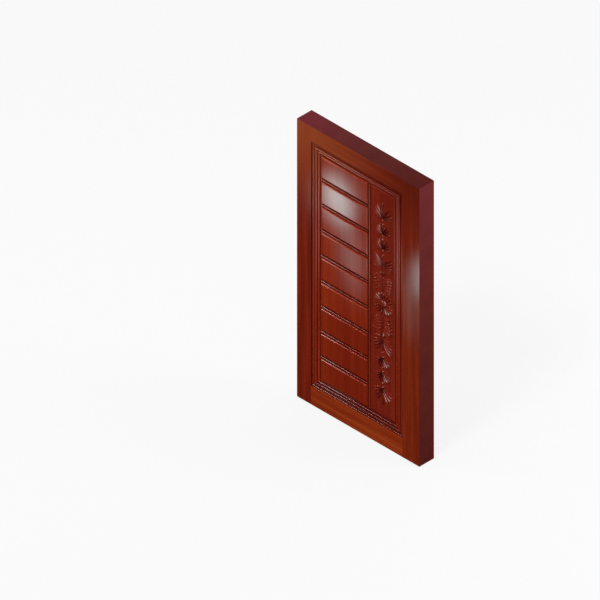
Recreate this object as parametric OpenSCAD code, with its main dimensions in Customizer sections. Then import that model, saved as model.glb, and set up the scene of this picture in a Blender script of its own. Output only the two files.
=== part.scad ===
// Framed wooden door leaf. Two stiles and two rails hold a sheet at the front and one at the back.
// On the front sheet a mitred moulding runs round nine raised panels with beads between them,
// and round a tall board with a carved garland beside them.
// The origin is at the middle of the foot. The front faces -Y, and +X is to the right seen from there.

/* [Leaf] */
// Height of the leaf
leaf_height = 2100; // [1900:5:2400]
// Width of the leaf
leaf_width = 1068; // [950:2:1250]
// Depth of the leaf from front to back
leaf_depth = 128; // [118:1:150]

/* [Stiles and rails] */
// Width of the left stile
left_stile_width = 122; // [100:1:160]
// Width of the right stile
right_stile_width = 147; // [100:1:180]
// Height of the top rail
top_rail_height = 113; // [95:1:180]
// Height of the bottom rail
bottom_rail_height = 137; // [95:1:250]

/* [Sheets and ledges] */
// Depth from the front of the frame to the front sheet
front_recess = 26; // [24:0.5:34]
// Thickness of the front sheet
front_sheet_thickness = 18; // [12:1:22]
// Depth from the back of the frame to the back sheet
back_recess = 12; // [4:1:20]
// Thickness of the back sheet
back_sheet_thickness = 18; // [12:1:22]
// How far both sheets reach into the grooves of the frame
groove_depth = 12; // [6:1:18]
// Play of a sheet in its groove, on each face and at each edge
sheet_play = 0.2; // [0.1:0.05:0.5]
// Number of ledges between the two sheets
ledge_count = 4; // [2:1:6]
// Height of a ledge
ledge_height = 90; // [84:1:130]

/* [Dowels] */
// Diameter of the dowels that join rails and ledges to the stiles
dowel_diameter = 16; // [10:1:20]
// Length of a dowel
dowel_length = 120; // [80:2:150]
// Distance between the two dowels of a joint
dowel_spacing = 50; // [36:1:56]
// Chamfer on both ends of a dowel
dowel_chamfer = 2; // [1:0.5:3]
// Play of a dowel in its bore, on the radius
dowel_play = 0.05; // [0:0.01:0.2]
// Free length of the bore past each end of a dowel
bore_end_gap = 2; // [1:0.5:5]

/* [Moulding] */
// Width of the mitred moulding, from the frame to the panels
moulding_width = 78; // [72:1:100]
// Width of the round lip beside the frame
lip_width = 14; // [10:0.5:16]
// Height of the lip above the front sheet
lip_height = 17; // [14:0.5:22]
// Height of the flat band where it leaves the lip
band_height = 8; // [6:0.5:9]
// Rise of the band towards the beads
band_rise = 3; // [1:0.5:5]
// Width of the bead beside the band
outer_bead_width = 14; // [10:0.5:15]
// Height of the bead beside the band
outer_bead_height = 21; // [18:0.5:24]
// Width of the bead beside the quirk
inner_bead_width = 17; // [12:0.5:18]
// Height of the bead beside the quirk
inner_bead_height = 18; // [16:0.5:24]
// Width of the narrow step between the two beads
step_width = 3; // [1.5:0.5:4]
// Height of the narrow step
step_height = 9; // [6:0.5:10]
// Width of the quirk, the flat groove beside the panels
quirk_width = 13; // [8:0.5:15]
// Height of the floor of the quirk above the front sheet
quirk_height = 5; // [3:0.5:8]

/* [Panels] */
// Number of raised panels, one above the other
panel_count = 9; // [6:1:10]
// Thickness of a raised panel
panel_thickness = 18; // [12:0.5:22]
// Rounding of the front edges of a panel
panel_rounding = 9; // [4:0.5:11]
// Width of the strips between the panels and beside the carved board
strip_width = 28; // [22:0.5:34]
// Width of the half-round bead on a strip
strip_bead_width = 13; // [10:0.5:16]
// Height of the half-round bead above the front sheet
strip_bead_height = 17; // [15:0.5:22]
// Height of a strip beside its bead
strip_edge_height = 6; // [4:0.5:8]

// Play round each panel and round the carved board
panel_play = 0.1; // [0.05:0.05:0.3]

/* [Carved board] */
// Width of the carved board
board_width = 209; // [195:1:260]
// Thickness of the carved board
board_thickness = 12; // [8:0.5:13]
// Rounding of the front edges of the carved board
board_rounding = 5; // [2:0.5:7]

/* [Carving] */
// Height of the highest carving above the board
relief = 11; // [7:0.5:12]
// Radius of the flower in the middle
flower_radius = 84; // [70:1:88]
// Radius of the round boss of the flower
boss_radius = 29; // [20:1:34]
// Number of petals round the boss
petal_count = 20; // [14:1:22]
// Width of a petal
petal_width = 17; // [10:0.5:18]
// Space between the flower and the garland
flower_gap = 6; // [4:1:20]
// Distance from the tip of the garland to the end of the board
garland_margin = 85; // [50:1:120]
// Length of the longest lobe of the garland
lobe_length = 96; // [80:1:100]
// Width of the widest lobe of the garland
lobe_width = 16; // [10:0.5:17]
// Radius of the beads on the stalk
bead_radius = 9; // [6:0.5:10]
// Width of the stalk
stalk_width = 5; // [3:0.5:6]
// Space between neighbouring forms at their roots
root_gap = 3; // [2:0.5:4]

/* [Hidden] */
front_y = -leaf_depth / 2;
back_y = leaf_depth / 2;
past = 1; // how far a cut runs past the face that it opens

// Opening of the frame
opening_left = -leaf_width / 2 + left_stile_width;
opening_right = leaf_width / 2 - right_stile_width;
opening_bottom = bottom_rail_height;
opening_top = leaf_height - top_rail_height;
opening_width = opening_right - opening_left;
opening_height = opening_top - opening_bottom;

// Sheets and the space between them
front_sheet_y = front_y + front_recess;
back_sheet_y = back_y - back_recess - back_sheet_thickness;
core_y = front_sheet_y + front_sheet_thickness;
core_depth = back_sheet_y - core_y;
ledge_pitch = opening_height / (ledge_count + 1);

// Field inside the moulding
field_left = opening_left + moulding_width;
field_right = opening_right - moulding_width;
field_bottom = opening_bottom + moulding_width;
field_top = opening_top - moulding_width;
field_height = field_top - field_bottom;
board_left = field_right - board_width;
divider_left = board_left - strip_width;
panel_space = divider_left - field_left;
panel_pitch = (field_height + strip_width) / panel_count;

// Centre lines of the two beads of the moulding, measured from the frame
inner_bead_line = moulding_width - quirk_width - inner_bead_width / 2;
outer_bead_line = inner_bead_line - inner_bead_width / 2 - step_width - outer_bead_width / 2;

// Centres of the dowel pairs
dowel_y = core_y + core_depth / 2;
bottom_rail_pair = (bottom_rail_height - groove_depth) / 2;
top_rail_pair = leaf_height - (top_rail_height - groove_depth) / 2;

// Garland from the flower to its tip
garland_start = flower_radius + flower_gap;
garland_length = field_height / 2 - garland_margin - garland_start;
root_radius = bead_radius + root_gap;
// Each spray: place of its lowest root from 0 at the flower to 1 at the tip, lobes on each side,
// their length and width as shares of the longest and widest lobe, angle from the stalk of the highest
// and of the lowest lobe, bend, and spread of the roots along the stalk as a share of the longest lobe
sprays = [
    [0.01, 5, 0.8, 1, 50, 62, 72, 0.875],
    [0.165, 1, 0.35, 0.87, 17, 17, 10, 0],
    [0.23, 5, 0.96, 0.94, 32, 68, 22, 0.44],
    [0.465, 4, 0.75, 0.84, 16, 63, 14, 0.04],
    [0.63, 4, 0.75, 0.84, 16, 63, 14, 0.04],
    [0.805, 4, 1, 1, 18, 66, 22, 0.08]
];
// Places of the beads on the stalk, and the stretches of bare stalk
bead_places = [0.41, 0.465, 0.585, 0.63, 0.757, 0.805];
stalk_places = [[0.005, 0.155], [0.235, 0.392], [0.484, 0.567], [0.649, 0.739]];
// Length and height of the lowest lobe of a spray as shares of the highest one's
low_lobe_length = 0.74;
low_lobe_height = 0.8;
// Heights of beads, petals and stalk as shares of the relief
bead_height = 0.8;
petal_height = 0.85;
stalk_height = 0.5;
// Radius and height of each step of a dome as shares of the whole
dome_steps = [[1, 0.4], [0.8, 0.8], [0.45, 1]];
// Shares of a lobe's length at which its outline is drawn
lobe_stations = [0, 0.3, 0.65, 0.86, 0.97];
// Where along its length a lobe is widest, how its width grows up to there, and its width
// and height at the root as shares of the widest and highest
lobe_widest = 0.65;
lobe_growth = 1.15;
lobe_root_width = 0.1;
lobe_root_height = 0.4;
// Depth to which carved forms reach down into the board, so that they are one with it
carving_root = 2;

wood = "#7b2512";
wood_light = "#84280f";
wood_dark = "#6b1c0b";
bare_wood = "#b98a5a";

// Heights of the ledges' centres, counted from the foot
function ledge_centre(i) = opening_bottom + i * ledge_pitch;

// Heights of the two dowels of a joint
function pair(centre) = [centre - dowel_spacing / 2, centre + dowel_spacing / 2];

function ledge_dowel_heights() = [for (i = [1:ledge_count]) each pair(ledge_centre(i))];

function all_dowel_heights() = concat(
    pair(bottom_rail_pair), ledge_dowel_heights(), pair(top_rail_pair)
);

// Puts a shape at every dowel at the given heights, pointing along X
module at_dowels(heights) {
    for (x = [opening_left, opening_right], z = heights)
        translate([x, dowel_y, z])
            rotate([0, 90, 0])
                children();
}

module dowel_bores(heights) {
    at_dowels(heights)
        cylinder(
            d = dowel_diameter + 2 * dowel_play,
            h = dowel_length + 2 * bore_end_gap,
            center = true,
            $fn = 48
        );
}

// Sheet that fills the opening and reaches into the frame all round, with extra room on every side
module sheet(front, thickness, room) {
    reach = groove_depth + room;
    translate([opening_left - reach, front - room, opening_bottom - reach])
        cube([opening_width + 2 * reach, thickness + 2 * room, opening_height + 2 * reach]);
}

// Room for both sheets, cut into the frame
module sheet_grooves() {
    sheet(front_sheet_y, front_sheet_thickness, sheet_play);
    sheet(back_sheet_y, back_sheet_thickness, sheet_play);
}

module stile(left, width) {
    color(wood_dark)
        difference() {
            translate([left, front_y, 0])
                cube([width, leaf_depth, leaf_height]);
            sheet_grooves();
            dowel_bores(all_dowel_heights());
        }
}

module rail(bottom, height, dowel_pair) {
    color(wood_light)
        difference() {
            translate([opening_left, front_y, bottom])
                cube([opening_width, leaf_depth, height]);
            sheet_grooves();
            dowel_bores(pair(dowel_pair));
        }
}

module front_sheet() {
    color(wood)
        sheet(front_sheet_y, front_sheet_thickness, 0);
}

module back_sheet() {
    color(wood)
        sheet(back_sheet_y, back_sheet_thickness, 0);
}

module ledge(i) {
    color(bare_wood)
        difference() {
            translate([opening_left, core_y, ledge_centre(i) - ledge_height / 2])
                cube([opening_width, core_depth, ledge_height]);
            dowel_bores(pair(ledge_centre(i)));
        }
}

module dowels() {
    radius = dowel_diameter / 2;
    end = dowel_length / 2;
    color(bare_wood)
        at_dowels(all_dowel_heights())
            rotate_extrude($fn = 48)
                polygon([
                    [0, -end],
                    [radius - dowel_chamfer, -end],
                    [radius, -end + dowel_chamfer],
                    [radius, end - dowel_chamfer],
                    [radius - dowel_chamfer, end],
                    [0, end]
                ]);
}

// Outline of a bead on its foot, drawn across X with its height along Y
module bead_outline(line, width, height) {
    foot = height - width / 2;
    translate([line - width / 2, 0])
        square([width, foot]);
    translate([line, foot])
        circle(d = width, $fn = 48);
}

// Outline across the moulding: X from the frame towards the panels, Y up from the front sheet
module moulding_outline() {
    polygon([
        [0, 0],
        [moulding_width, 0],
        [moulding_width, quirk_height],
        [inner_bead_line, quirk_height],
        [inner_bead_line, step_height],
        [outer_bead_line, step_height],
        [outer_bead_line, band_height + band_rise],
        [lip_width, band_height],
        [0, band_height]
    ]);
    bead_outline(lip_width / 2, lip_width, lip_height);
    bead_outline(outer_bead_line, outer_bead_width, outer_bead_height);
    bead_outline(inner_bead_line, inner_bead_width, inner_bead_height);
}

// One length of moulding with both ends mitred, running along Z
module moulding(length) {
    edge = moulding_width + past;
    intersection() {
        linear_extrude(length)
            intersection() {
                moulding_outline();
                square([moulding_width, front_recess]);
            }
        translate([0, front_recess + past, 0])
            rotate([90, 0, 0])
                linear_extrude(front_recess + 2 * past)
                    polygon([[-past, -past], [edge, edge], [edge, length - edge], [-past, length + past]]);
    }
}

module moulding_left() {
    color(wood)
        translate([opening_left, front_sheet_y, opening_top])
            rotate([180, 0, 0])
                moulding(opening_height);
}

module moulding_right() {
    color(wood)
        translate([opening_right, front_sheet_y, opening_bottom])
            rotate([0, 0, 180])
                moulding(opening_height);
}

module moulding_top() {
    color(wood)
        translate([opening_right, front_sheet_y, opening_top])
            rotate([0, 90, 180])
                moulding(opening_width);
}

module moulding_bottom() {
    color(wood)
        translate([opening_left, front_sheet_y, opening_bottom])
            rotate([0, -90, 180])
                moulding(opening_width);
}

module strip_outline() {
    square([strip_width, strip_edge_height]);
    bead_outline(strip_width / 2, strip_bead_width, strip_bead_height);
}

module cross_strip(i) {
    color(wood_light)
        translate([field_left, front_sheet_y, field_bottom + i * panel_pitch - strip_width])
            rotate([0, -90, 180])
                linear_extrude(panel_space)
                    strip_outline();
}

module divider_strip() {
    color(wood_light)
        translate([divider_left, front_sheet_y, field_top])
            rotate([180, 0, 0])
                linear_extrude(field_height)
                    strip_outline();
}

// Outline of a slab with its two front edges rounded
module slab_outline(width, thickness, rounding) {
    square([width, thickness - rounding]);
    translate([rounding, 0])
        square([width - 2 * rounding, thickness]);
    for (x = [rounding, width - rounding])
        translate([x, thickness - rounding])
            circle(r = rounding, $fn = 48);
}

// Slab on the front sheet, all four front edges rounded, in a space with its lower left corner at the origin
module raised_slab(space_width, space_height, thickness, rounding) {
    width = space_width - 2 * panel_play;
    height = space_height - 2 * panel_play;
    translate([panel_play, 0, panel_play])
        intersection() {
            translate([0, 0, height])
                rotate([180, 0, 0])
                    linear_extrude(height)
                        slab_outline(width, thickness, rounding);
            rotate([0, -90, 180])
                linear_extrude(width)
                    slab_outline(height, thickness, rounding);
        }
}

module panel(i) {
    color(wood_light)
        translate([field_left, front_sheet_y, field_bottom + (i - 1) * panel_pitch])
            raised_slab(panel_space, panel_pitch - strip_width, panel_thickness, panel_rounding);
}

// Share of its full width that a lobe has at a share t of its length: slim root, round tip
function lobe_swell(t) = t < lobe_widest
    ? lobe_root_width + (1 - lobe_root_width) * pow(t / lobe_widest, lobe_growth)
    : sqrt(1 - pow((t - lobe_widest) / (1 - lobe_widest), 2));

// Share of its full height that a lobe has at a share t of its length
function lobe_rise(t) = lobe_root_height + (1 - lobe_root_height) * lobe_swell(t);

// Direction of a lobe, turned from Y towards X, and the place that it reaches along its arc
function lobe_turn(angle, bend, t) = angle + bend * t;
function lobe_place(angle, bend, length, t) =
    length * 180 / PI / bend * [cos(angle) - cos(angle + bend * t), sin(angle + bend * t) - sin(angle)];

// Carved lobe with a crest, on the XY plane with its root at the origin, curving along an arc
module lobe(length, width, height, angle, bend) {
    across = [-1, 0, 1];
    rows = len(across);
    last = rows - 1;
    end = len(lobe_stations) - 1;
    points = [
        for (t = lobe_stations, s = across)
            let (
                turn = lobe_turn(angle, bend, t),
                place = lobe_place(angle, bend, length, t),
                side = s * width / 2 * lobe_swell(t)
            )
            [
                place.x + side * cos(turn),
                place.y - side * sin(turn),
                s == 0 ? height * lobe_rise(t) : -carving_root
            ]
    ];
    top = [
        for (i = [0:end - 1], j = [0:last - 1])
            let (a = i * rows + j, b = a + rows)
            each [[a, b, b + 1], [a, b + 1, a + 1]]
    ];
    foot = concat(
        [for (i = [0:end]) i * rows + last],
        [for (i = [end:-1:0]) i * rows]
    );
    root_end = [for (j = [0:last]) j];
    tip_end = [for (j = [last:-1:0]) end * rows + j];
    polyhedron(points, concat(top, [foot, root_end, tip_end]), convexity = 4);
}

// Lobe that starts at a distance from the origin, in its own direction
module lobe_from(distance, length, width, height, angle, bend) {
    translate([distance * sin(angle), distance * cos(angle), 0])
        lobe(length, width, height, angle, bend);
}

// Domed round form on the XY plane
module dome(radius, height) {
    hull()
        for (step = dome_steps)
            translate([0, 0, -carving_root])
                cylinder(r = radius * step[0], h = carving_root + height * step[1], $fn = 16);
}

// Lobes of one spray on both sides of the stalk
module spray(lobes, length, width, high_angle, low_angle, bend, spread) {
    for (i = [0:lobes - 1], side = [0, 1]) {
        share = lobes > 1 ? i / (lobes - 1) : 0;
        size = 1 - (1 - low_lobe_length) * share;
        translate([0, spread * (1 - share), 0])
            mirror([side, 0, 0])
                lobe_from(
                    root_radius,
                    length * size,
                    width * size,
                    relief * (1 - (1 - low_lobe_height) * share),
                    high_angle + (low_angle - high_angle) * share,
                    bend
                );
    }
}

// Bare stalk between two places along Y
module stalk(from, to) {
    hull()
        for (y = [from, to])
            translate([0, y, -carving_root])
                cylinder(
                    d1 = stalk_width,
                    d2 = stalk_width / 2,
                    h = carving_root + relief * stalk_height,
                    $fn = 12
                );
}

// Half of the garland, lying flat, with the flower's centre at the origin and the tip along Y
module garland() {
    translate([0, garland_start, 0]) {
        for (s = sprays)
            translate([0, s[0] * garland_length, 0])
                spray(s[1], s[2] * lobe_length, s[3] * lobe_width, s[4], s[5], s[6], s[7] * lobe_length);
        for (place = bead_places)
            translate([0, place * garland_length, 0])
                dome(bead_radius, relief * bead_height);
        for (ends = stalk_places)
            stalk(ends[0] * garland_length, ends[1] * garland_length);
        bud_root = bead_places[len(bead_places) - 1] * garland_length;
        translate([0, bud_root, 0])
            lobe_from(root_radius, garland_length - bud_root - root_radius, lobe_width, relief, -0.5, 1);
    }
}

// Flower of one ring of petals round a boss, lying flat
module flower() {
    petal_root = boss_radius + root_gap;
    for (i = [0:petal_count - 1])
        rotate((i + 0.5) * 360 / petal_count)
            lobe_from(petal_root, flower_radius - petal_root, petal_width, relief * petal_height, -2, 4);
    dome(boss_radius, relief);
}

// Board with its carving, all one piece
module carved_board() {
    face_y = front_sheet_y - board_thickness;
    color(wood)
        union() {
            translate([board_left, front_sheet_y, field_bottom])
                raised_slab(board_width, field_height, board_thickness, board_rounding);
            translate([board_left + board_width / 2, face_y, field_bottom + field_height / 2])
                rotate([90, 0, 0]) {
                    flower();
                    garland();
                    mirror([0, 1, 0])
                        garland();
                }
        }
}

stile(-leaf_width / 2, left_stile_width);  // left_stile
stile(opening_right, right_stile_width);  // right_stile
rail(opening_top, top_rail_height, top_rail_pair);  // top_rail
rail(0, bottom_rail_height, bottom_rail_pair);  // bottom_rail
front_sheet();
back_sheet();
dowels();
for (i = [1:ledge_count])
    ledge(i);
moulding_left();
moulding_right();
moulding_top();
moulding_bottom();
for (i = [1:panel_count])
    panel(i);
for (i = [1:panel_count - 1])
    cross_strip(i);
divider_strip();
carved_board();
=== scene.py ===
import math
import bmesh
import bpy
from mathutils import Matrix, Vector


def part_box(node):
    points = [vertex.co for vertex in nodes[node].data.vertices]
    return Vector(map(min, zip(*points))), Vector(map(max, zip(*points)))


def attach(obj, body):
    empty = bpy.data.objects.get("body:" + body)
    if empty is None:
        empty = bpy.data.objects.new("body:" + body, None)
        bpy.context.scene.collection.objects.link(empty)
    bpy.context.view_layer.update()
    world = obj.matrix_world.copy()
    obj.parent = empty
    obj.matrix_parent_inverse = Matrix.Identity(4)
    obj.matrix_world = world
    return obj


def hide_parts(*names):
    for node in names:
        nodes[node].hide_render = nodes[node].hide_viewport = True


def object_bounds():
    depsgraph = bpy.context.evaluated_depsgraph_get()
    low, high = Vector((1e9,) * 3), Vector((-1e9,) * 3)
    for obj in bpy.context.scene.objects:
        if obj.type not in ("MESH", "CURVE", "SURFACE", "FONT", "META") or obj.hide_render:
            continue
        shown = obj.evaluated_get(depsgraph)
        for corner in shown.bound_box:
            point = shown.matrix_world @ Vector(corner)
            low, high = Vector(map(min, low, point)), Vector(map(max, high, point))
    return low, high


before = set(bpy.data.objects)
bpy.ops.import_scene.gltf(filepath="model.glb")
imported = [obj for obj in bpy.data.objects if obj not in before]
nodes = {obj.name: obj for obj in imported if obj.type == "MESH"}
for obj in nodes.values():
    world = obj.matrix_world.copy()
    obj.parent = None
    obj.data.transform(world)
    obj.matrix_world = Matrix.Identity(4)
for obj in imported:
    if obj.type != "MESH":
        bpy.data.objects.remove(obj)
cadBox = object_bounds()
scene = bpy.context.scene
scene.view_settings.view_transform = "Standard"
mm = 0.001
quarterTurn = math.pi / 2
mixShare, mixFrom, mixTo, mixResult = 0, 6, 7, 2    # sockets of a node that mixes two colours
print("frame loaded,", len(nodes), "nodes")


# sRGB hex to the linear colour that the shaders take
def toLinear(hexColour):
    shares = [int(hexColour[i:i + 2], 16) / 255 for i in (1, 3, 5)]
    return [s / 12.92 if s <= 0.04045 else ((s + 0.055) / 1.055) ** 2.4 for s in shares] + [1.0]


# adds a shader node, sets it up and links it: an input that is a socket is linked, any other is set
def addNode(tree, kind, settings={}, inputs={}):
    node = tree.nodes.new("ShaderNode" + kind)
    for key, value in settings.items():
        if key == "stops":
            while len(node.color_ramp.elements) < len(value):
                node.color_ramp.elements.new(1.0)
            for element, (position, colour) in zip(node.color_ramp.elements, value):
                element.position = position
                element.color = toLinear(colour)
        else:
            setattr(node, key, value)
    for key, value in inputs.items():
        if isinstance(value, bpy.types.NodeSocket):
            tree.links.new(value, node.inputs[key])
        else:
            node.inputs[key].default_value = value
    return node


def newMaterial(name):
    material = bpy.data.materials.new(name)
    material.use_nodes = True
    tree = material.node_tree
    return material, tree, tree.nodes["Principled BSDF"]


# camera: the leaf is drawn in true isometric, so the lens has no perspective
viewpoint = {
    "azimuth": 45.0,                # degrees round the leaf, from the front towards the right
    "elevation": 35.264,            # isometric, atan(1 / sqrt 2)
    "pictureSize": 600,             # pixels
    "pixelsPerMetre": 162.05,       # scale of the picture
    "cornerPixel": (419.34, 466.88),  # front right corner of the foot
    "distance": 20.0,               # m
}


def makeCamera(view):
    turn, lift = math.radians(view["azimuth"]), math.radians(view["elevation"])
    back = Vector((math.sin(turn) * math.cos(lift), -math.cos(turn) * math.cos(lift), math.sin(lift)))
    right = Vector((math.cos(turn), math.sin(turn), 0))
    up = back.cross(right)
    middle = view["pictureSize"] / 2
    corner = Vector((cadBox[1].x, cadBox[0].y, 0))
    across = (middle - view["cornerPixel"][0]) / view["pixelsPerMetre"]
    upward = (view["cornerPixel"][1] - middle) / view["pixelsPerMetre"]
    data = bpy.data.cameras.new("isometric_camera")
    data.type = "ORTHO"
    data.ortho_scale = view["pictureSize"] / view["pixelsPerMetre"]
    camera = bpy.data.objects.new("isometric_camera", data)
    camera.location = corner + right * across + up * upward + back * view["distance"]
    camera.rotation_euler = (-back).to_track_quat("-Z", "Y").to_euler()
    scene.collection.objects.link(camera)
    scene.camera = camera
    return back


backward = makeCamera(viewpoint)
print("camera set")


# stained and lacquered mahogany: a red-brown stain on straight grain, with ribbons of lighter and darker
# wood, fine dark pores and a glossy film over it all
lacquer = {
    "ior": 1.5,                 # nitrocellulose lacquer
    "filmRoughness": 0.14,      # polished film
    "beadRoughness": 0.19,      # less polished on moulding and strips
    "woodRoughness": 0.45,      # stained wood below the film
    "woodSpecular": 0.0,        # its shine is the film's
    "ribbon": (34, 800),        # mm across and along the grain
    "streak": (9, 260),         # growth lines, drawn twice as coarse so that they show
    "pore": (2.5, 38),          # open pores, drawn four times as coarse so that they show
    "noise": {"ribbon": (2.0, 0.4), "streak": (4.0, 0.6), "pore": (2.0, 0.0)},  # detail and distortion
    "noiseRoughness": 0.55,
    "ribbonStops": (0.3, 0.5, 0.72),    # where the dark, the middle and the light tone lie
    "staveStops": (0.15, 0.5, 0.85),
    "streakRange": (0.5, 0.72),         # where the growth lines set in
    "streakShare": 0.55,
    "poreRange": (0.58, 0.74),
    "poreShare": 0.4,
    "poreSlope": (0.55, 0.75),          # from the film down to the bottom of a pore
    "poreDepth": 0.25,          # mm
    "poreBump": 0.35,
    "stave": 78,                # mm, width of the boards glued side by side
    "poreAndShadeColour": "#1a0302",  # dark tone of the pores, and of the painted shade in corners and recesses
    "paintedShadeSamples": 8,
    "paintedLightColour": "#8e4526",    # painted light: paler towards the upper left corner
    "glowReach": 760,           # mm
    "shadeColour": "#4a0d06",   # painted shade: deeper towards the upper right corner
    "shadeReach": 560,          # mm
}


# scale for a pattern that is drawn out along the grain, from its size in mm
def alongGrain(size, grain):
    across, along = (1 / (s * mm) for s in size)
    return [along if axis == grain else across for axis in "xyz"]


# grain: the axis that the board was sawn along; staves, figure: shares of the glued boards and of the fine
# grain; the third share is that of the painted light and painted shade at the upper corners; the shade in
# corners and recesses is
# painted too: its reach in mm, its share in a deep corner, and how open a place is where it is full and
# where it ends
def makeLacquer(name, grain, tones, staves=0.0, figure=1.0, recessShade=(24, 0.92, 0.1, 0.5), cornerLightAndShade=0.7,
                edges=None, film=lacquer["filmRoughness"]):
    material, tree, shader = newMaterial(name)
    coords = addNode(tree, "TexCoord")
    place = coords.outputs["Object"]
    dark = tones[0]
    recessShadeReach, recessShadeShare, recessShadeFull, recessShadeEnd = recessShade

    # ribbons, growth lines and pores, drawn out along the grain
    values = {}
    for word, (detail, distortion) in lacquer["noise"].items():
        scaled = addNode(tree, "Mapping", inputs={
            "Vector": place, "Scale": alongGrain(lacquer[word], grain),
        })
        values[word] = addNode(tree, "TexNoise", inputs={
            "Vector": scaled.outputs[0], "Scale": 1.0, "Detail": detail,
            "Roughness": lacquer["noiseRoughness"], "Distortion": distortion,
        }).outputs["Fac"]
    colour = addNode(tree, "ValToRGB", {"stops": list(zip(lacquer["ribbonStops"], tones))}, {
        "Fac": values["ribbon"],
    }).outputs[0]

    # glued staves, each of its own tone
    if staves:
        split = addNode(tree, "SeparateXYZ", inputs={0: place})
        count = addNode(tree, "Math", {"operation": "DIVIDE"}, {
            0: split.outputs[0], 1: lacquer["stave"] * mm,
        })
        stave = addNode(tree, "TexVoronoi", {"voronoi_dimensions": "1D"}, {
            "W": count.outputs[0], "Scale": 1.0,
        })
        tint = addNode(tree, "ValToRGB", {"stops": list(zip(lacquer["staveStops"], tones))}, {
            "Fac": stave.outputs["Color"],
        })
        colour = addNode(tree, "Mix", {"data_type": "RGBA"}, {
            mixShare: staves, mixFrom: colour, mixTo: tint.outputs[0],
        }).outputs[mixResult]

    # nearness to the corner with the painted light and to the one with the painted shade
    for word, x in (("glow", cadBox[0].x), ("shade", cadBox[1].x)):
        reach = lacquer[word + "Reach"] * mm
        near = addNode(tree, "Mapping", {"vector_type": "TEXTURE"}, {
            "Vector": place, "Location": (x, cadBox[0].y, cadBox[1].z), "Scale": (reach, reach, reach),
        })
        values[word] = addNode(tree, "TexGradient", {"gradient_type": "SPHERICAL"}, {
            "Vector": near.outputs[0],
        }).outputs["Fac"]
    # painted shade: darker where ambient occlusion finds the place closed in, in corners and recesses
    values["paintedShade"] = addNode(tree, "AmbientOcclusion", {"samples": lacquer["paintedShadeSamples"]}, {
        "Distance": recessShadeReach * mm,
    }).outputs["AO"]

    # what lies over the ribbons: the value it follows, the range in which it sets in, its shares at both
    # ends of that range, its colour
    layers = [
        ("streak", lacquer["streakRange"], (0.0, lacquer["streakShare"] * figure), dark),
        ("pore", lacquer["poreRange"], (0.0, lacquer["poreShare"] * figure), lacquer["poreAndShadeColour"]),
        # painted light at the upper left corner and painted shade at the upper right corner
        ("glow", (0.0, 1.0), (0.0, cornerLightAndShade), lacquer["paintedLightColour"]),
        ("shade", (0.0, 1.0), (0.0, cornerLightAndShade), lacquer["shadeColour"]),
        # painted shade in corners and recesses
        ("paintedShade", (recessShadeFull, recessShadeEnd), (recessShadeShare, 0.0), lacquer["poreAndShadeColour"]),
    ]
    for word, (low, high), (first, last), tone in layers:
        if word == "paintedShade" and edges:
            colour = edges(tree, coords, colour)
        share = addNode(tree, "MapRange", {"interpolation_type": "SMOOTHSTEP"}, {
            "Value": values[word], "From Min": low, "From Max": high, "To Min": first, "To Max": last,
        })
        colour = addNode(tree, "Mix", {"data_type": "RGBA"}, {
            mixShare: share.outputs[0], mixFrom: colour, mixTo: toLinear(tone),
        }).outputs[mixResult]

    rim, bottom = lacquer["poreSlope"]
    sunk = addNode(tree, "MapRange", inputs={
        "Value": values["pore"], "From Min": rim, "From Max": bottom, "To Min": 1.0, "To Max": 0.0,
    })
    relief = addNode(tree, "Bump", inputs={
        "Strength": lacquer["poreBump"] * figure, "Distance": lacquer["poreDepth"] * mm,
        "Height": sunk.outputs[0],
    })
    tree.links.new(colour, shader.inputs["Base Color"])
    tree.links.new(relief.outputs[0], shader.inputs["Normal"])
    for word, value in (
        ("IOR", lacquer["ior"]), ("Roughness", lacquer["woodRoughness"]),
        ("Specular IOR Level", lacquer["woodSpecular"]), ("Coat Weight", 1.0),
        ("Coat Roughness", film), ("Coat IOR", lacquer["ior"]),
    ):
        shader.inputs[word].default_value = value
    return material


# tinted lacquer on the planed edges: filled pores, so an even maroon without grain; its tones hold painted
# light and shade
# paler up the sides, darker on the top faces than on the sides, and darker towards the right
edgeLacquer = {
    "side": ["#551e1a", "#612621", "#702c2f"],  # painted light: paler from the foot up
    "end": ["#5d2329", "#4f2220", "#491a18"],   # painted shade on the top faces: darker from left to right
    "cloud": 160,               # mm, uneven spray
    "cloudDetail": 3.0,
    "cloudRange": (0.3, 0.7),
    "cloudTone": (0.9, 1.1),    # from the deeper to the paler places
    "turned": (0.35, 0.75),     # how far a face turns to the front or back where the coat runs out
    "rim": 0.985,               # share of the half width or height beyond which the outer edges lie
}


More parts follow.
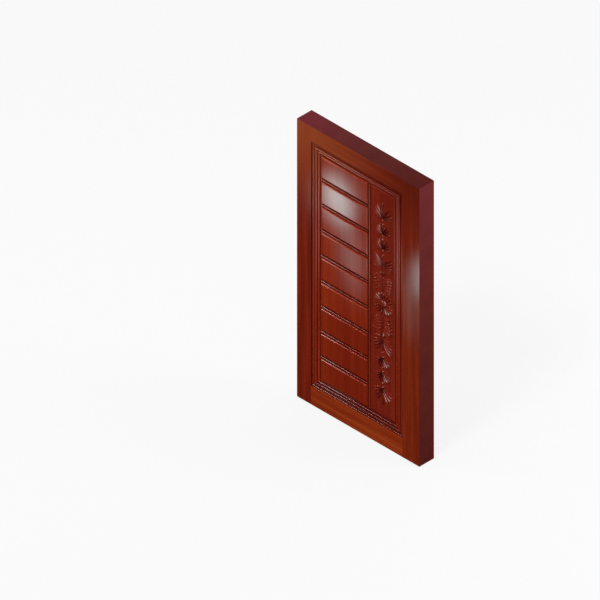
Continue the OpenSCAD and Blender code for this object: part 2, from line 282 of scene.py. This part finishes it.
def coatEdges(tree, coords, colour):
    place = coords.outputs["Object"]
    split = addNode(tree, "SeparateXYZ", inputs={0: place})
    facing = addNode(tree, "SeparateXYZ", inputs={0: coords.outputs["Normal"]})
    ramps = []
    for tones, value, low, high in (
        (edgeLacquer["side"], split.outputs[2], 0.0, cadBox[1].z),
        (edgeLacquer["end"], split.outputs[0], cadBox[0].x, cadBox[1].x),
    ):
        share = addNode(tree, "MapRange", inputs={"Value": value, "From Min": low, "From Max": high})
        stops = [(i / (len(tones) - 1), tone) for i, tone in enumerate(tones)]
        ramps.append(addNode(tree, "ValToRGB", {"stops": stops}, {"Fac": share.outputs[0]}).outputs[0])
    upward = addNode(tree, "Math", {"operation": "ABSOLUTE"}, {0: facing.outputs[2]})
    edge = addNode(tree, "Mix", {"data_type": "RGBA"}, {
        mixShare: upward.outputs[0], mixFrom: ramps[0], mixTo: ramps[1],
    })
    cloud = addNode(tree, "TexNoise", inputs={
        "Vector": place, "Scale": 1 / (edgeLacquer["cloud"] * mm), "Detail": edgeLacquer["cloudDetail"],
    })
    (low, high), (deeper, paler) = edgeLacquer["cloudRange"], edgeLacquer["cloudTone"]
    lift = addNode(tree, "MapRange", inputs={
        "Value": cloud.outputs["Fac"], "From Min": low, "From Max": high, "To Min": deeper, "To Max": paler,
    })
    edge = addNode(tree, "Mix", {"data_type": "RGBA", "blend_type": "MULTIPLY"}, {
        mixShare: 1.0, mixFrom: edge.outputs[mixResult], mixTo: lift.outputs[0],
    })
    forward = addNode(tree, "Math", {"operation": "ABSOLUTE"}, {0: facing.outputs[1]})
    coatFull, coatEnd = edgeLacquer["turned"]
    away = addNode(tree, "MapRange", {"interpolation_type": "SMOOTHSTEP"}, {
        "Value": forward.outputs[0], "From Min": coatFull, "From Max": coatEnd, "To Min": 1.0, "To Max": 0.0,
    })
    # only the outer edges, not those of the opening: place as a share of the half width and half height
    middle, half = (cadBox[0] + cadBox[1]) / 2, (cadBox[1] - cadBox[0]) / 2
    centred = addNode(tree, "Mapping", {"vector_type": "TEXTURE"}, {
        "Vector": place, "Location": middle, "Scale": half,
    })
    share = addNode(tree, "VectorMath", {"operation": "ABSOLUTE"}, {0: centred.outputs[0]})
    shares = addNode(tree, "SeparateXYZ", inputs={0: share.outputs[0]})
    farther = addNode(tree, "Math", {"operation": "MAXIMUM"}, {0: shares.outputs[0], 1: shares.outputs[2]})
    outer = addNode(tree, "Math", {"operation": "GREATER_THAN"}, {
        0: farther.outputs[0], 1: edgeLacquer["rim"],
    })
    coated = addNode(tree, "Math", {"operation": "MULTIPLY"}, {0: away.outputs[0], 1: outer.outputs[0]})
    return addNode(tree, "Mix", {"data_type": "RGBA"}, {
        mixShare: coated.outputs[0], mixFrom: colour, mixTo: edge.outputs[mixResult],
    }).outputs[mixResult]


# unfinished softwood of the ledges and beech of the dowels, inside the leaf: pale, matt, plain grain
bareWood = {
    "ior": 1.5,
    "roughness": 0.62,
    "grain": (6, 180),      # mm across and along
    "detail": 3.0,
    "stops": (0.35, 0.65),  # where early and late wood lie
    "bump": 0.3,
    "ridge": 0.3,           # mm that late wood stands proud
}


def makeBareWood(name, early, late):
    material, tree, shader = newMaterial(name)
    place = addNode(tree, "TexCoord").outputs["Object"]
    scaled = addNode(tree, "Mapping", inputs={
        "Vector": place, "Scale": alongGrain(bareWood["grain"], "x"),
    })
    ring = addNode(tree, "TexNoise", inputs={
        "Vector": scaled.outputs[0], "Scale": 1.0, "Detail": bareWood["detail"],
    })
    tones = addNode(tree, "ValToRGB", {"stops": list(zip(bareWood["stops"], (early, late)))}, {
        "Fac": ring.outputs["Fac"],
    })
    raised = addNode(tree, "Bump", inputs={
        "Strength": bareWood["bump"], "Distance": bareWood["ridge"] * mm, "Height": ring.outputs["Fac"],
    })
    tree.links.new(tones.outputs[0], shader.inputs["Base Color"])
    tree.links.new(raised.outputs[0], shader.inputs["Normal"])
    shader.inputs["IOR"].default_value = bareWood["ior"]
    shader.inputs["Roughness"].default_value = bareWood["roughness"]
    return material


# tones of each board run from dark to light
mouldingTones = ["#6c180b", "#7a200e", "#892c14"]
stileLook = {"recessShade": (24, 0.15, 0.1, 0.4), "edges": coatEdges}
panelLook = {"staves": 0.6, "figure": 0.5, "cornerLightAndShade": 0.2}
beadFilm = lacquer["beadRoughness"]
finishes = {
    "leftStile": makeLacquer(
        "mahogany_left_stile", "z", ["#5f1607", "#6c1d0b", "#78260f"], **stileLook),
    "rightStile": makeLacquer(
        "mahogany_right_stile", "z", ["#631a09", "#70220d", "#7c2c12"], **stileLook),
    "topRail": makeLacquer(
        "mahogany_top_rail", "x", ["#691d07", "#75250c", "#813011"], edges=coatEdges),
    "bottomRail": makeLacquer(
        "mahogany_bottom_rail", "x", ["#78260b", "#873011", "#943c17"], edges=coatEdges),
    "sheet": makeLacquer("mahogany_sheet", "z", ["#66180a", "#74200c", "#822b10"], staves=0.5),
    # painted light: the left moulding is given paler tones than the others
    "mouldingLeft": makeLacquer(
        "mahogany_moulding_left", "z", ["#78200f", "#862812", "#953419"],
        recessShade=(24, 0.5, 0.1, 0.4), film=beadFilm),
    "mouldingRight": makeLacquer(
        "mahogany_moulding_right", "z", mouldingTones, recessShade=(24, 0.6, 0.1, 0.5), film=beadFilm),
    # painted shade under the top rail: the top moulding's recess shade reaches far and sets in early
    "mouldingTop": makeLacquer(
        "mahogany_moulding_top", "x", mouldingTones, recessShade=(60, 0.55, 0.7, 0.93), film=beadFilm),
    # painted shade: the bottom moulding is given deeper tones than the other mouldings
    "mouldingBottom": makeLacquer(
        "mahogany_moulding_bottom", "x", ["#4c0f07", "#581408", "#651c0d"], film=beadFilm),
    "panel": makeLacquer("mahogany_panel", "z", ["#731c08", "#80250d", "#8e3012"], **panelLook),
    "lowPanel": makeLacquer("mahogany_low_panel", "z", ["#6a1807", "#76200b", "#832a10"], **panelLook),
    "stripUpright": makeLacquer(
        "mahogany_strip_upright", "z", mouldingTones, recessShade=(24, 0.3, 0.1, 0.5), film=beadFilm),
    # painted shade: the level strips are given deeper tones, and the most painted shade in their recesses
    "stripLevel": makeLacquer(
        "mahogany_strip_level", "x", ["#581309", "#65190b", "#732311"],
        recessShade=(24, 0.95, 0.15, 0.6), film=beadFilm),
    # painted shade in the hollows of the carving
    "carved": makeLacquer(
        "mahogany_carved", "z", ["#62160b", "#6e1d10", "#7b2713"], staves=0.3, recessShade=(11, 0.92, 0.2, 0.8)),
    "ledge": makeBareWood("bare_pine", "#d9b98a", "#b98a5a"),
    "dowel": makeBareWood("bare_beech", "#d8ae82", "#c3946a"),
}


# finish of a CAD node, from the first words of its name
nodeFinish = {
    "left_stile": "leftStile", "right_stile": "rightStile",
    "top_rail": "topRail", "bottom_rail": "bottomRail",
    "front_sheet": "sheet", "back_sheet": "sheet", "dowels": "dowel", "ledge": "ledge",
    "moulding_left": "mouldingLeft", "moulding_right": "mouldingRight",
    "moulding_top": "mouldingTop", "moulding_bottom": "mouldingBottom",
    "panel_1": "lowPanel", "panel_2": "lowPanel", "panel_3": "lowPanel", "panel": "panel",
    "cross_strip": "stripLevel", "divider_strip": "stripUpright", "carved_board": "carved",
}
for name, node in nodes.items():
    first = next(word for word in nodeFinish if name.startswith(word))
    for slot in node.material_slots:
        slot.material = finishes[nodeFinish[first]]
print("finishes made,", len(finishes))


# arrises of the frame, taken off with a plane so that light catches them
arris = {
    "nodes": ["left_stile", "right_stile", "top_rail", "bottom_rail"],
    "width": 3.5,   # mm
    "rings": 3,
    "bend": 40,     # degrees, edges that bend more are rounded
    "weld": 0.01,   # mm, joins the corners of the facets first
}


def roundArrises():
    for name in arris["nodes"]:
        weld = nodes[name].modifiers.new("weld", "WELD")
        weld.merge_threshold = arris["weld"] * mm
        bevel = nodes[name].modifiers.new("arris", "BEVEL")
        bevel.width = arris["width"] * mm
        bevel.segments = arris["rings"]
        bevel.limit_method = "ANGLE"
        bevel.angle_limit = math.radians(arris["bend"])
        bevel.harden_normals = True


roundArrises()
print("arrises rounded")


# carved board: a flower in the middle and a garland to both ends, all cut from the board; sizes in mm
board = {
    "thickness": 12,
    "rounding": 5,
    "roundingSteps": 5,
    "relief": 12.5,         # highest carving above the board
    "sunk": 2,              # depth to which the forms go on below the face
    "flowerRadius": 84,
    "bossRadius": 29,
    "petals": 20,
    "petalWidth": 16,
    "petalHeight": 0.85,    # shares of the relief
    "beadHeight": 0.8,
    "stalkHeight": 0.5,
    "petalAngle": -2,       # degrees at the root, and bend up to the tip
    "petalBend": 4,
    "budAngle": -0.5,
    "budBend": 1,
    "flowerGap": 6,
    "garlandMargin": 85,
    "lobeLength": 96,
    "lobeWidth": 15.5,
    "beadRadius": 9,
    "stalkWidth": 5,
    "stalkEndWidth": 0.12,  # shares left at both ends of a stalk
    "stalkEndHeight": 0.5,
    "rootGap": 3,
    "lowLobeLength": 0.74,  # lowest lobe of a spray, as shares of the highest one
    "lowLobeHeight": 0.8,
    "widest": 0.65,         # where a lobe is widest, and how it grows up to there
    "growth": 1.15,
    "rootWidth": 0.1,
    "rootHeight": 0.4,
    "tip": 0.992,           # share of its length at which a lobe is cut off
    "fullness": 2.0,        # section of a lobe, from 1 for a sharp ridge to 2 for round
    "mitreReach": 0.1,      # past the rounding at the corners
    "level": 0.99999,       # a face is flat if its normal is at least this square to the board
    "crease": 38,           # degrees, edges that bend more stay sharp
}
# each spray: place along the garland, lobes on a side, length and width shares, angle of the highest
# and of the lowest lobe, bend, spread of the roots
sprays = [
    (0.01, 5, 0.8, 1, 50, 62, 72, 0.875),
    (0.165, 1, 0.35, 0.87, 17, 17, 10, 0),
    (0.23, 5, 0.96, 0.94, 32, 68, 22, 0.44),
    (0.465, 4, 0.75, 0.84, 16, 63, 14, 0.04),
    (0.63, 4, 0.75, 0.84, 16, 63, 14, 0.04),
    (0.805, 4, 1, 1, 18, 66, 22, 0.08),
]
beadPlaces = [0.41, 0.465, 0.585, 0.63, 0.757, 0.805]
stalkPlaces = [(0.005, 0.155), (0.235, 0.392), (0.484, 0.567), (0.649, 0.739)]


def lobeSwell(t):
    if t < board["widest"]:
        return board["rootWidth"] + (1 - board["rootWidth"]) * (t / board["widest"]) ** board["growth"]
    return math.sqrt(max(0.0, 1 - ((t - board["widest"]) / (1 - board["widest"])) ** 2))


# closed form from rows of points that all end on the level of its foot
def addRows(mesh, rows):
    made = [[mesh.verts.new(p) for p in row] for row in rows]
    for low, high in zip(made, made[1:]):
        for a, b, c, d in zip(low, low[1:], high[1:], high):
            mesh.faces.new((a, b, c, d))
        mesh.faces.new((low[-1], low[0], high[0], high[-1]))
    mesh.faces.new(made[0][::-1])
    mesh.faces.new(made[-1])


# one lobe: flat coordinates in mm with the flower's centre at the origin; it starts at root, leaves at an
# angle from the stalk and bends along an arc
def addLobe(mesh, root, length, width, height, angle, bend, mirrorX=1, mirrorY=1, turn=0.0,
            rings=16, steps=10):
    rows = []
    spin = Matrix.Rotation(turn, 2)
    start, arc = math.radians(angle), length / math.radians(bend)
    for i in range(rings + 1):
        t = board["tip"] * math.sin(i / rings * quarterTurn) if i else 0.0
        aim = math.radians(angle + bend * t)
        x = root[0] + arc * (math.cos(start) - math.cos(aim))
        y = root[1] + arc * (math.sin(aim) - math.sin(start))
        half = width / 2 * lobeSwell(t)
        crest = height * (board["rootHeight"] + (1 - board["rootHeight"]) * lobeSwell(t)) + board["sunk"]
        row = []
        for j in range(steps + 1):
            s = 2 * j / steps - 1
            flat = spin @ Vector((x + s * half * math.cos(aim), y - s * half * math.sin(aim)))
            rise = crest * (1 - abs(s) ** board["fullness"]) - board["sunk"]
            row.append((mirrorX * flat.x, mirrorY * flat.y, rise))
        rows.append(row)
    addRows(mesh, rows)


def addDome(mesh, centre, radius, height, rings=7, steps=32):
    levels = [(radius, -board["sunk"])]
    for i in range(rings):
        climb = i / rings * quarterTurn
        levels.append((radius * math.cos(climb), height * math.sin(climb)))
    rounds = [[mesh.verts.new((
        centre[0] + r * math.cos(k / steps * math.tau), centre[1] + r * math.sin(k / steps * math.tau), z,
    )) for k in range(steps)] for r, z in levels]
    for low, high in zip(rounds, rounds[1:]):
        for k in range(steps):
            mesh.faces.new((low[k], low[(k + 1) % steps], high[(k + 1) % steps], high[k]))
    top = mesh.verts.new((centre[0], centre[1], height))
    for k in range(steps):
        mesh.faces.new((rounds[-1][k], rounds[-1][(k + 1) % steps], top))
    mesh.faces.new(rounds[0][::-1])


def addStalk(mesh, low, high, mirrorY, steps=8, ends=4):
    half, height = board["stalkWidth"] / 2, board["relief"] * board["stalkHeight"] + board["sunk"]
    endHeight = board["stalkEndHeight"]
    rows = []
    places = [low + half * (1 - math.cos(i / ends * quarterTurn)) for i in range(ends + 1)]
    places += [high - half * (1 - math.cos(i / ends * quarterTurn)) for i in range(ends, -1, -1)]
    for y in places:
        inward = min(y - low, high - y, half)
        share = max(board["stalkEndWidth"], math.sqrt(1 - (1 - inward / half) ** 2))
        crest = height * (endHeight + (1 - endHeight) * share)
        rows.append([
            (s * half * share, mirrorY * y, crest * (1 - abs(s) ** 2) - board["sunk"])
            for s in (2 * j / steps - 1 for j in range(steps + 1))
        ])
    addRows(mesh, rows)


def addGarland(mesh, length, mirrorY):
    start = board["flowerRadius"] + board["flowerGap"]
    rootRadius = board["beadRadius"] + board["rootGap"]
    for place, lobes, lengthShare, widthShare, highAngle, lowAngle, bend, spread in sprays:
        for i in range(lobes):
            share = i / (lobes - 1) if lobes > 1 else 0
            size = 1 - (1 - board["lowLobeLength"]) * share
            angle = highAngle + (lowAngle - highAngle) * share
            aim = math.radians(angle)
            y = start + place * length + spread * board["lobeLength"] * (1 - share)
            root = (rootRadius * math.sin(aim), y + rootRadius * math.cos(aim))
            reach = lengthShare * board["lobeLength"] * size
            width = widthShare * board["lobeWidth"] * size
            height = board["relief"] * (1 - (1 - board["lowLobeHeight"]) * share)
            for mirrorX in (1, -1):
                addLobe(mesh, root, reach, width, height, angle, bend, mirrorX, mirrorY)
    for place in beadPlaces:
        centre = (0, mirrorY * (start + place * length))
        addDome(mesh, centre, board["beadRadius"], board["relief"] * board["beadHeight"])
    for low, high in stalkPlaces:
        addStalk(mesh, start + low * length, start + high * length, mirrorY)
    budRoot = start + beadPlaces[-1] * length + rootRadius
    addLobe(mesh, (0, budRoot), start + length - budRoot, board["lobeWidth"], board["relief"],
            board["budAngle"], board["budBend"], mirrorY=mirrorY)


def addFlower(mesh):
    root = board["bossRadius"] + board["rootGap"]
    for i in range(board["petals"]):
        turn = (i + 0.5) * math.tau / board["petals"]
        addLobe(mesh, (0, root), board["flowerRadius"] - root, board["petalWidth"],
                board["relief"] * board["petalHeight"], board["petalAngle"], board["petalBend"], turn=turn)
    addDome(mesh, (0, 0), board["bossRadius"], board["relief"], rings=10, steps=48)


# slab with its front edges rounded, lying flat with its face at height 0
def addSlab(mesh, width, height):
    thick, rounding, steps = board["thickness"], board["rounding"], board["roundingSteps"]
    levels = [(0, -thick)]
    for i in range(steps + 1):
        climb = i / steps * quarterTurn
        levels.append((rounding * (1 - math.cos(climb)), rounding * (math.sin(climb) - 1)))
    rounds = [[mesh.verts.new((x * (width / 2 - inset), y * (height / 2 - inset), z)) for x, y in (
        (-1, -1), (1, -1), (1, 1), (-1, 1))] for inset, z in levels]
    for low, high in zip(rounds, rounds[1:]):
        for k in range(4):
            mesh.faces.new((low[k], low[(k + 1) % 4], high[(k + 1) % 4], high[k]))
    mesh.faces.new(rounds[0][::-1])
    mesh.faces.new(rounds[-1])


def newObject(name, mesh):
    bmesh.ops.recalc_face_normals(mesh, faces=mesh.faces)
    data = bpy.data.meshes.new(name)
    mesh.to_mesh(data)
    mesh.free()
    made = bpy.data.objects.new(name, data)
    scene.collection.objects.link(made)
    return made


def carveBoard():
    low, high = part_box("carved_board")
    width, height = (high.x - low.x) / mm, (high.z - low.z) / mm
    slab = bmesh.new()
    addSlab(slab, width, height)
    forms = bmesh.new()
    addFlower(forms)
    garland = height / 2 - board["garlandMargin"] - board["flowerRadius"] - board["flowerGap"]
    for mirrorY in (1, -1):
        addGarland(forms, garland, mirrorY)
    piece = newObject("carved_garland_board", slab)
    tool = newObject("carved_forms", forms)
    union = piece.modifiers.new("union", "BOOLEAN")
    union.operation = "UNION"
    union.solver = "MANIFOLD"
    union.object = tool
    bpy.context.view_layer.update()
    joined = bpy.data.meshes.new_from_object(piece.evaluated_get(bpy.context.evaluated_depsgraph_get()))
    piece.modifiers.clear()
    piece.data = joined
    bpy.data.objects.remove(tool)
    # edges within the four corners of the slab: its rounded edges meet there in mitres
    near = board["rounding"] + board["mitreReach"]
    mitres = []
    for edge in joined.edges:
        halfway = sum((joined.vertices[i].co for i in edge.vertices), Vector()) / 2
        if width / 2 - abs(halfway.x) < near and height / 2 - abs(halfway.y) < near:
            mitres.append(edge.index)
    # flat coordinates to the leaf: across to X, along to Z, relief towards the front
    origin = Vector(((low.x + high.x) / 2, high.y - board["thickness"] * mm, (low.z + high.z) / 2))
    upright = Matrix.Translation(origin) @ Matrix.Rotation(quarterTurn, 4, "X")
    joined.transform(upright @ Matrix.Scale(mm, 4))
    # the flat face stays flat, so that the carving does not bend its shine
    curved = [abs(face.normal.y) < board["level"] for face in joined.polygons]
    joined.polygons.foreach_set("use_smooth", curved)
    joined.set_sharp_from_angle(angle=math.radians(board["crease"]))
    for index in mitres:
        joined.edges[index].use_edge_sharp = True
    joined.materials.clear()
    joined.materials.append(finishes["carved"])
    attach(piece, "root")
    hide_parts("carved_board")
    return piece


carvedBoard = carveBoard()
print("board carved,", len(carvedBoard.data.polygons), "faces")


# studio: a pale floor, an even white surround and black flags
studio = {
    "floorSize": 240.0,         # m
    "floorColour": "#747474",   # what the floor throws back onto the leaf
    "floorSeen": "#b4b4b4",     # what is seen of it
    "floorGlow": 0.85,          # share of the floor's paleness that no shadow takes away
    "floorRoughness": 0.8,
    "surround": 0.8,            # light that the surround gives
    "surroundSeen": 0.95,       # its paleness where it is seen
    "flagColour": "#101010",
    "flagReach": 14.0,          # m
    "flagLift": 3,              # mm above the floor
}
# black cards above and to the left: the way out from the leaf, distance and size in metres
cards = {
    "flag_above": {"way": (-1, 1, 1), "distance": 2.4, "size": 3.2},
    "flag_left": {"way": (-1, -1, 1), "distance": 7.5, "size": 13.0},
}


def addSheetOnStage(name, corners, material):
    mesh = bpy.data.meshes.new(name)
    mesh.from_pydata(corners, [], [tuple(range(len(corners)))])
    mesh.materials.append(material)
    made = bpy.data.objects.new(name, mesh)
    scene.collection.objects.link(made)
    return made


def rectangle(x0, y0, x1, y1, z):
    return [(x0, y0, z), (x1, y0, z), (x1, y1, z), (x0, y1, z)]


# corners of a square card that faces a point from a distance
def cardFacing(point, way, distance, size):
    outward = Vector(way).normalized()
    level = outward.cross(Vector((0, 0, 1))).normalized()
    rise = level.cross(outward)
    turns = ((-1, -1), (1, -1), (1, 1), (-1, 1))
    return [point + outward * distance + (level * a + rise * b) * size / 2 for a, b in turns]


# 1 where the camera, a gloss or a clear thing looks, 0 for the light that is thrown on
def addSeen(tree):
    path = addNode(tree, "LightPath")
    seen = path.outputs["Is Camera Ray"]
    for word in ("Is Glossy Ray", "Is Transmission Ray"):
        seen = addNode(tree, "Math", {"operation": "MAXIMUM"}, {0: seen, 1: path.outputs[word]}).outputs[0]
    return seen


# painted studio floor: pale and matt; what looks at it sees most of its paleness without shadow
def makeFloorPaint():
    material, tree, shader = newMaterial("floor_paint")
    shader.inputs["Roughness"].default_value = studio["floorRoughness"]
    shader.inputs["Specular IOR Level"].default_value = 0.0
    seen = addSeen(tree)
    tone = addNode(tree, "Mix", {"data_type": "RGBA"}, {
        mixShare: seen, mixFrom: toLinear(studio["floorColour"]), mixTo: toLinear(studio["floorSeen"]),
    })
    tree.links.new(tone.outputs[mixResult], shader.inputs["Base Color"])
    share = addNode(tree, "Math", {"operation": "MULTIPLY"}, {0: seen, 1: studio["floorGlow"]})
    glow = addNode(tree, "Emission", inputs={"Color": toLinear("#ffffff"), "Strength": 1.0})
    both = addNode(tree, "MixShader", inputs={
        0: share.outputs[0], 1: shader.outputs[0], 2: glow.outputs[0],
    })
    tree.links.new(both.outputs[0], tree.nodes["Material Output"].inputs["Surface"])
    return material


# black cloth of a flag: no shine at all, and clear from its back
def makeFlagCloth():
    material, tree, shader = newMaterial("flag_cloth")
    shader.inputs["Base Color"].default_value = toLinear(studio["flagColour"])
    shader.inputs["Roughness"].default_value = 1.0
    shader.inputs["Specular IOR Level"].default_value = 0.0
    back = addNode(tree, "NewGeometry").outputs["Backfacing"]
    clear = addNode(tree, "BsdfTransparent")
    both = addNode(tree, "MixShader", inputs={0: back, 1: shader.outputs[0], 2: clear.outputs[0]})
    tree.links.new(both.outputs[0], tree.nodes["Material Output"].inputs["Surface"])
    return material


# flags keep the pale floor and surround out of the lacquer
def hangFlags():
    cloth = makeFlagCloth()
    reach, lift = studio["flagReach"], studio["flagLift"] * mm
    front, right = cadBox[0].y, cadBox[1].x
    flags = {
        "flag_front": rectangle(-reach, -reach, right, front, lift),
        "flag_right": rectangle(right, front, reach, reach, lift),
        "flag_corner": rectangle(right, -reach, reach, front, lift),
    }
    for name, card in cards.items():
        flags[name] = cardFacing(Vector((0, 0, cadBox[1].z)), **card)
    for name, corners in flags.items():
        flag = addSheetOnStage(name, corners, cloth)
        flag.visible_camera = False
        flag.visible_diffuse = False
        flag.visible_transmission = False
        flag.visible_shadow = False


def makeSurround():
    world = bpy.data.worlds.new("white_surround")
    world.use_nodes = True
    tree = world.node_tree
    background = tree.nodes["Background"]
    background.inputs["Color"].default_value = toLinear("#ffffff")
    strength = addNode(tree, "MapRange", inputs={
        "Value": addSeen(tree), "To Min": studio["surround"], "To Max": studio["surroundSeen"],
    })
    tree.links.new(strength.outputs[0], background.inputs["Strength"])
    scene.world = world


floorHalf = studio["floorSize"] / 2
addSheetOnStage("floor", rectangle(-floorHalf, -floorHalf, floorHalf, floorHalf, 0.0), makeFloorPaint())
hangFlags()
makeSurround()
print("studio set up")


# softboxes, which the lacquer does not mirror: places and sizes in metres
softboxes = {
    "key_softbox": {"place": (-3.5, -2.9, 3.9), "aim": (0, 0, 1.1), "size": (0.9, 0.9), "watts": 62.0},
    "back_fill": {"place": (3.6, 2.6, 3.0), "aim": (0.4, 0, 1.0), "size": (2.0, 2.0), "watts": 110.0},
}
# nor this far, wide bank of lights high in front: way to it, irradiance, angle in degrees
highBank = {"way": (0.08, -0.6, 0.8), "strength": 2.05, "angle": 14}
# light panels that only the lacquer mirrors; the first one is clear of the face along the way that the
# view from the camera is mirrored and glows in soft spots: x, z, half width and half height on the face in
# metres, lean in degrees, radiance
mirrorPanel = {
    "distance": 1.25,
    "colour": "#deffff",    # daylight tube
    "corners": ((-0.5, 0.74), (0.7, 1.98)),
    "glints": [
        (-0.2, 1.65, 0.22, 0.29, -16, 7.8),
        (-0.08, 1.3, 0.17, 0.5, -8, 1.6),
        (0.545, 1.44, 0.1, 0.27, 0, 4.4),
        (0.465, 1.2, 0.15, 0.45, 0, 0.6),
    ],
}
# this one shows on the upper part of the upright beads
stripPanel = {"place": (0.66, -1.5, 0.39), "aim": (0.66, 0, 0.39), "size": (0.4, 0.58), "watts": 5.2}
# this one shows on the left part of the level beads
beadPanel = {"place": (-4.36, -5.05, 1.6), "aim": (-0.3, 0, 1.0), "size": (0.75, 1.3), "watts": 74.0}
# and these two, which shine on the carved board only, on the sides and on the tips of its lobes
glintPanels = {
    "glint_sides": {"place": (2.27, -3.6, 2.9), "aim": (0.2, 0, 1.05), "size": (2.2, 2.2), "watts": 85.0},
    "glint_tips": {"place": (3.48, -2.24, 2.48), "aim": (0.2, 0, 1.05), "size": (2.2, 2.2), "watts": 100.0},
}


# softbox of a size in metres that faces a point
def addSoftbox(name, place, aim, size, watts):
    data = bpy.data.lights.new(name, "AREA")
    data.shape = "RECTANGLE"
    data.size, data.size_y = size
    data.energy = watts
    light = bpy.data.objects.new(name, data)
    light.location = place
    light.rotation_euler = (Vector(aim) - Vector(place)).to_track_quat("-Z", "Y").to_euler()
    light.visible_camera = False
    scene.collection.objects.link(light)
    return light


# panel whose glow is the sum of its soft spots; its power makes a radiance of 1 where the glow is 1
def addMirrorPanel(panel):
    outward = Vector((-backward.x, backward.y, -backward.z)) * panel["distance"]
    low, high = (Vector((x, cadBox[0].y, z)) + outward for x, z in panel["corners"])
    width, height = high.x - low.x, high.z - low.z
    place = (low + high) / 2
    aim = place + Vector((0, 1, 0))
    light = addSoftbox("mirror_panel", place, aim, (width, height), math.pi * width * height)
    light.data.use_nodes = True
    tree = light.data.node_tree
    position = addNode(tree, "NewGeometry").outputs["Position"]
    tree.nodes["Emission"].inputs["Color"].default_value = toLinear(panel["colour"])
    glow = 0.0
    for x, z, halfWidth, halfHeight, lean, radiance in panel["glints"]:
        near = addNode(tree, "Mapping", {"vector_type": "TEXTURE"}, {
            "Vector": position, "Location": Vector((x, cadBox[0].y, z)) + outward,
            "Rotation": (0, math.radians(lean), 0), "Scale": (halfWidth, 1, halfHeight),
        })
        ball = addNode(tree, "TexGradient", {"gradient_type": "SPHERICAL"}, {"Vector": near.outputs[0]})
        soft = addNode(tree, "MapRange", {"interpolation_type": "SMOOTHERSTEP"}, {
            "Value": ball.outputs["Fac"], "To Max": radiance,
        })
        glow = addNode(tree, "Math", {"operation": "ADD"}, {0: glow, 1: soft.outputs[0]}).outputs[0]
    tree.links.new(glow, tree.nodes["Emission"].inputs["Strength"])
    return light


def placeLights():
    for name, softbox in softboxes.items():
        addSoftbox(name, **softbox).visible_glossy = False
    bank = bpy.data.objects.new("high_bank", bpy.data.lights.new("high_bank", "SUN"))
    bank.data.energy = highBank["strength"]
    bank.data.angle = math.radians(highBank["angle"])
    bank.rotation_euler = Vector(highBank["way"]).to_track_quat("Z", "Y").to_euler()
    bank.visible_glossy = False
    scene.collection.objects.link(bank)
    carving = bpy.data.collections.new("carving_receiver")
    carving.objects.link(carvedBoard)
    glints = [addSoftbox(name, **panel) for name, panel in glintPanels.items()]
    for light in glints:
        light.light_linking.receiver_collection = carving
    strips = [addSoftbox("strip_panel", **stripPanel), addSoftbox("bead_panel", **beadPanel)]
    # the soft spots end at the panels: the carved board stays out of them
    plain = bpy.data.collections.new("plain_receiver")
    plain.objects.link(carvedBoard)
    plain.collection_objects[0].light_linking.link_state = "EXCLUDE"
    mirror = addMirrorPanel(mirrorPanel)
    mirror.light_linking.receiver_collection = plain
    for light in [mirror] + strips + glints:
        light.visible_diffuse = False


placeLights()
print("studio lit")
